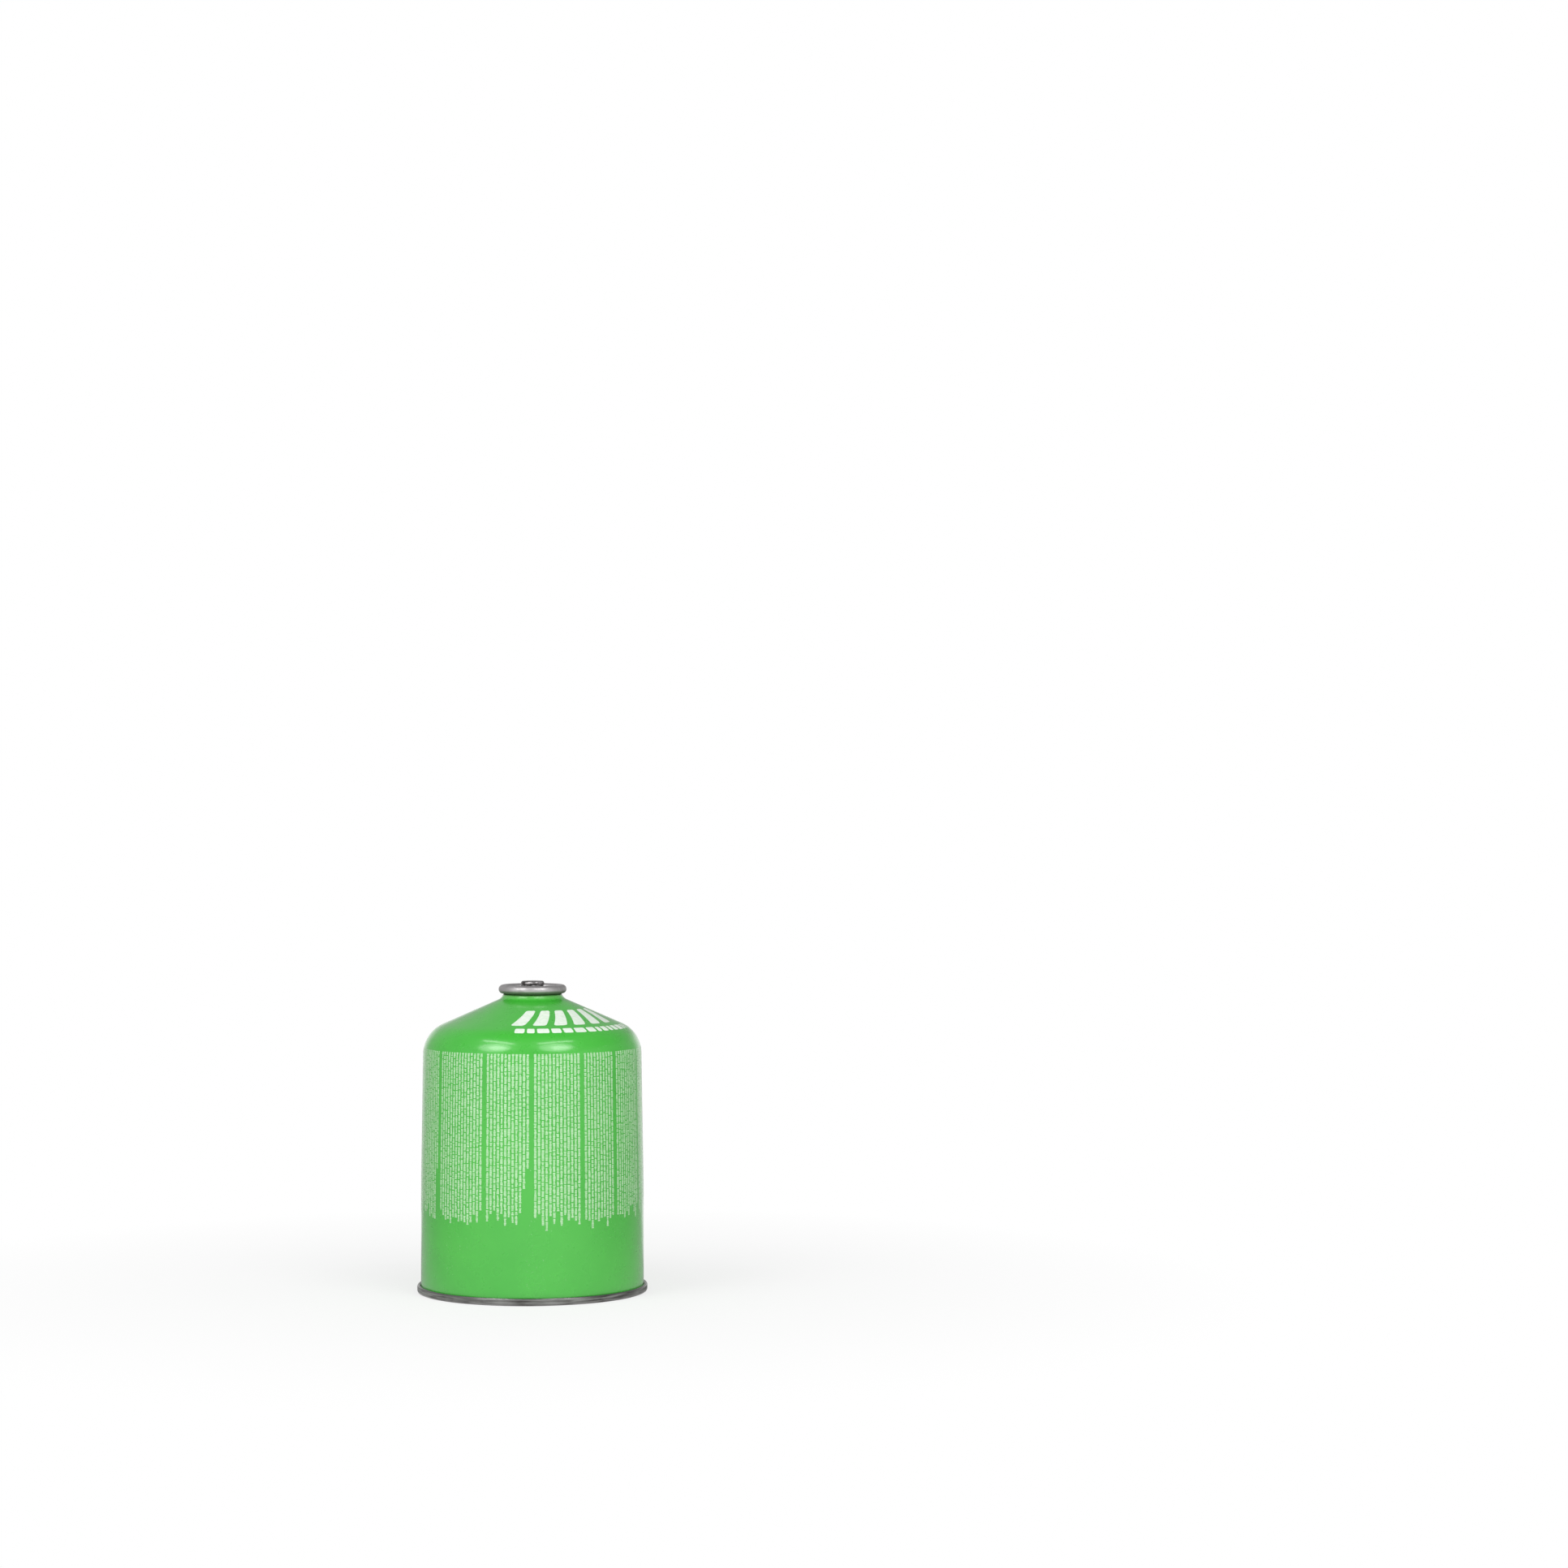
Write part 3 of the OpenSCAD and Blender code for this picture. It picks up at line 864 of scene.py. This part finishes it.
def floor_paper():
    """Pale paper that takes the canister's shadow, and that the camera and reflections see turn
    to plain white, partly by the canister and wholly beyond it."""
    paper = Nodes("floor_paper")
    paper.tree.nodes.remove(paper.shader)
    diffuse = paper.add("ShaderNodeBsdfDiffuse")
    diffuse.inputs["Color"].default_value = (0.88, 0.88, 0.88, 1)
    white = paper.add("ShaderNodeEmission")
    white.inputs["Color"].default_value = WHITE
    distance = paper.add("ShaderNodeVectorMath", operation="LENGTH")
    paper.link(paper.place, distance.inputs[0])
    rays = paper.add("ShaderNodeLightPath")
    reach = paper.ramp(distance.outputs["Value"], (0.08, 0.7), (0.35, 1.0))
    seen = paper.math("MAXIMUM", rays.outputs["Is Camera Ray"], rays.outputs["Is Glossy Ray"])
    # in reflections it is grey toward the sides, as the room is
    way = paper.add("ShaderNodeVectorMath", operation="NORMALIZE")
    paper.link(paper.place, way.inputs[0])
    behind = paper.split(way.outputs[0]).outputs["Y"]
    turned = paper.math("ADD", paper.math("MULTIPLY", behind, 0.5), 0.5)
    tone = paper.math("MAXIMUM", paper.ramp(turned, *GREY_SIDES), rays.outputs["Is Camera Ray"])
    paper.link(tone, white.inputs["Strength"])
    blend = paper.add("ShaderNodeMixShader")
    paper.link(paper.math("MULTIPLY", reach, seen), blend.inputs[0])
    paper.link(diffuse.outputs[0], blend.inputs[1])
    paper.link(white.outputs[0], blend.inputs[2])
    paper.link(blend.outputs[0], paper.tree.nodes["Material Output"].inputs["Surface"])
    return paper.material


def flat_floor():
    """A flat square floor, much larger than the canister."""
    corners = [(x * FLOOR_HALF, y * FLOOR_HALF, 0) for x, y in ((-1, -1), (1, -1), (1, 1), (-1, 1))]
    mesh = bpy.data.meshes.new("floor")
    mesh.from_pydata(corners, [], [[0, 1, 2, 3]])
    floor = bpy.data.objects.new("floor", mesh)
    bpy.context.scene.collection.objects.link(floor)
    return floor


painted(flat_floor(), floor_paper())

# the lamps face the canister's shoulder
AIM = Vector((0, 0, 0.125))


def lamp(name, direction, distance, size, power, shape):
    """An area lamp that faces the canister's shoulder from a direction."""
    light = bpy.data.lights.new(name, "AREA")
    light.shape = shape
    light.size, light.size_y = size
    light.energy = power
    obj = bpy.data.objects.new(name, light)
    way = Vector(direction).normalized()
    obj.location = AIM + distance * way
    obj.rotation_euler = way.to_track_quat("Z", "Y").to_euler()
    bpy.context.scene.collection.objects.link(obj)


# on each side a soft round lamp, a brighter core in front of it, and a thin strip above them
for side, middle, inner, above in (
    ("left", (-0.54, -0.59, 0.60), (-0.50, -0.63, 0.59), (-0.43, -0.36, 0.83)),
    ("right", (0.42, -0.65, 0.63), (0.47, -0.64, 0.61), (0.33, -0.41, 0.85)),
):
    lamp(side + "_softbox", middle, 1.25, (0.72, 0.62), 3.1, "ELLIPSE")
    lamp(side + "_core", inner, 1.1, (0.34, 0.26), 0.75, "ELLIPSE")
    lamp(side + "_strip", above, 1.2, (0.66, 0.10), 1.1, "RECTANGLE")


class Backdrop:
    """The world's node tree, with short calls for the nodes that it repeats."""

    def __init__(self):
        world = bpy.data.worlds.new("studio")
        bpy.context.scene.world = world
        world.use_nodes = True
        self.tree = world.node_tree
        self.tree.nodes.clear()

    def add(self, kind, *links, **values):
        """Adds a node, with (output, input's name) links and values for inputs or settings."""
        node = self.tree.nodes.new(kind)
        for key, value in values.items():
            if key in node.inputs:
                node.inputs[key].default_value = value
            else:
                setattr(node, key, value)
        for source, socket in links:
            self.tree.links.new(source, node.inputs[socket])
        return node

    def math(self, operation, a, b):
        """A Math node of one output and another, or of an output and a number."""
        node = self.add("ShaderNodeMath", (a, 0), operation=operation)
        if isinstance(b, (int, float)):
            node.inputs[1].default_value = b
        else:
            self.tree.links.new(b, node.inputs[1])
        return node.outputs[0]

    def span(self, value, low, high, *links, **values):
        """A Map Range node that reads the value between low and high."""
        values.update({"From Min": low, "From Max": high})
        return self.add("ShaderNodeMapRange", (value, "Value"), *links, **values).outputs[0]

    def ramp(self, value, stops):
        node = self.add("ShaderNodeValToRGB", (value, "Fac"))
        ramp_stops(node, stops)
        return node.outputs[0]

    def glow(self, strength=None):
        """White light of a strength that varies, or of 1."""
        node = self.add("ShaderNodeBackground", Color=WHITE, Strength=1.0)
        if strength:
            self.tree.links.new(strength, node.inputs["Strength"])
        return node.outputs[0]

    def choose(self, factor, plain, other):
        """The plain shader where the factor is 0, and the other where it is 1."""
        links = ((factor, "Fac"), (plain, 1), (other, 2))
        return self.add("ShaderNodeMixShader", *links).outputs[0]


def studio_world():
    """White to the camera, dimmer and greyer to reflections, and a soft light on the object."""
    room = Backdrop()
    rays = room.add("ShaderNodeLightPath").outputs
    place = room.add("ShaderNodeTexCoord").outputs["Generated"]
    way = room.add("ShaderNodeSeparateXYZ", (place, "Vector")).outputs
    turned = room.span(way["Y"], -1.0, 1.0)
    around = room.ramp(turned, GREY_SIDES)
    # higher up it turns dim, and dimmer on the right
    ceiling = room.ramp(way["Z"], ((0.0, 0.9), (0.12, 0.45), (0.8, 0.34), (1.0, 0.1)))
    sideways = room.span(way["X"], -0.3, 0.7, **{"To Min": 1.0, "To Max": 0.6})
    above = room.math("MULTIPLY", ceiling, sideways)
    # a direction counts as higher up by its height, less some of how far it leans sideways
    aside = room.math("MULTIPLY", room.math("ABSOLUTE", way["X"], 0), 0.5)
    rising = room.math("SUBTRACT", way["Z"], aside)
    mirrored = room.span(rising, -0.05, 0.12, (around, "To Min"), (above, "To Max"))
    # as light, it is brightest from the camera's side, and weakest from the sides toward the back
    lit = room.ramp(turned, ((0.0, 0.9), (0.68, 0.26), (0.8, 0.3), (1.0, 0.85)))
    unseen = room.choose(rays["Is Glossy Ray"], room.glow(lit), room.glow(mirrored))
    shown = room.choose(rays["Is Camera Ray"], unseen, room.glow())
    room.add("ShaderNodeOutputWorld", (shown, "Surface"))


studio_world()

# the camera is level, and its place gives the photograph's viewing angle and framing
camera_data = bpy.data.cameras.new("camera")
camera_data.lens = 85
camera_data.sensor_width = 36
camera = bpy.data.objects.new("camera", camera_data)
camera.location = (0.1204, -1.773, 0.2425)
camera.rotation_euler = (math.radians(90), 0, 0)
bpy.context.scene.collection.objects.link(camera)
bpy.context.scene.camera = camera
bpy.context.scene.view_settings.view_transform = "Standard"
